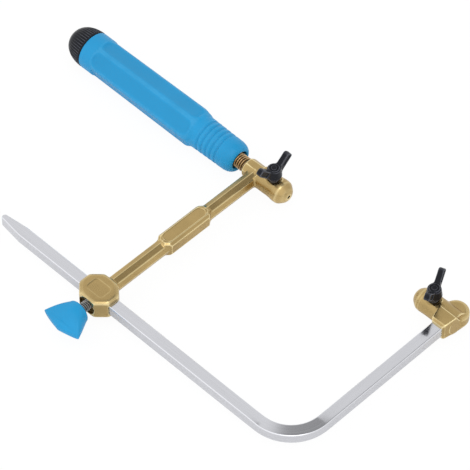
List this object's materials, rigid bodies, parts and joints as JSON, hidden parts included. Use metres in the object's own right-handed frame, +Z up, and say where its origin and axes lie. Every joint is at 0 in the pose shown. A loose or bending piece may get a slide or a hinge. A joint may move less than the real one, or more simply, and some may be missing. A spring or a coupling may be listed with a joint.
{
  "type": "fret saw",
  "caption": "Adjustable fret saw frame: bent square bow bar in a screw-locked crosshead, two blade clamps with wing screws, and a fluted screw-on handle.",
  "frame": {"origin": "mouth of the lower blade hole, on the blade line", "axes": "+X along the blade line to the upper clamp, +Y away from the bow bar, +Z up towards the wing screws"},
  "size_m": [0.2578, 0.1418, 0.028],
  "materials": {
    "casting": "satin die-cast, brass-coloured",
    "stud": "rolled thread, brown-plated",
    "bright_brass": "turned",
    "blue_plastic": "moulded, satin",
    "black_plastic": "moulded, satin",
    "bar": "chrome plated",
    "steel": "zinc plated thread"
  },
  "bodies": {
    "frame": {"crosshead_arm": "casting", "handle_stud": "stud"},
    "bow": {"bow_bar": "bar", "upper_clamp": "casting", "clamp_pin": "steel"},
    "lower_presser": {"lower_shoe": "bright_brass"},
    "lower_turner": {"lower_wing": "black_plastic", "lower_screw": "steel"},
    "upper_presser": {"upper_shoe": "bright_brass"},
    "upper_turner": {"upper_wing": "black_plastic", "upper_screw": "steel"},
    "lock_presser": {"lock_shoe": "bright_brass"},
    "lock_turner": {"lock_knob": "blue_plastic", "lock_screw": "steel"},
    "handle_nut": {"handle_insert": "bright_brass"},
    "handle": {"handle_grip": "blue_plastic"},
    "cap": {"end_cap": "black_plastic"}
  },
  "joints": [
    {"name": "bow_slide", "type": "slide", "parent": "frame", "child": "bow", "axis": [1, 0, 0], "range_m": [-0.06, 0.04]},
    {"name": "lower_press", "type": "slide", "parent": "frame", "child": "lower_presser", "axis": [0, 0, -1], "range_m": [-0.002, 0.0012]},
    {"name": "lower_turn", "type": "hinge", "parent": "lower_presser", "child": "lower_turner", "pos_m": [-0.0102, 0, 0.01], "axis": [0, 0, -1], "range_deg": [-900, 540]},
    {"name": "upper_press", "type": "slide", "parent": "bow", "child": "upper_presser", "axis": [0, 0, -1], "range_m": [-0.002, 0.0012]},
    {"name": "upper_turn", "type": "hinge", "parent": "upper_presser", "child": "upper_turner", "pos_m": [0.0929, 0, 0.01], "axis": [0, 0, -1], "range_deg": [-900, 540]},
    {"name": "lock_press", "type": "slide", "parent": "frame", "child": "lock_presser", "axis": [0, 1, 0], "range_m": [-0.003, 0]},
    {"name": "lock_turn", "type": "hinge", "parent": "lock_presser", "child": "lock_turner", "pos_m": [-0.0208, -0.115, 0], "axis": [0, 1, 0], "range_deg": [-1080, 0]},
    {"name": "handle_travel", "type": "slide", "parent": "frame", "child": "handle_nut", "axis": [1, 0, 0], "range_m": [-0.0125, 0.005]},
    {"name": "handle_turn", "type": "hinge", "parent": "handle_nut", "child": "handle", "pos_m": [-0.05, 0, 0], "axis": [1, 0, 0], "range_deg": [-3600, 1440]},
    {"name": "cap_pull", "type": "slide", "parent": "handle", "child": "cap", "axis": [-1, 0, 0], "range_m": [0, 0.04]}
  ],
  "couplings": [
    {"joint": "lower_turn", "follows": "lower_press", "rad_per_m": 7854},
    {"joint": "upper_turn", "follows": "upper_press", "rad_per_m": 7854},
    {"joint": "lock_turn", "follows": "lock_press", "rad_per_m": 6283.2},
    {"joint": "handle_turn", "follows": "handle_travel", "rad_per_m": 5026.5}
  ]
}
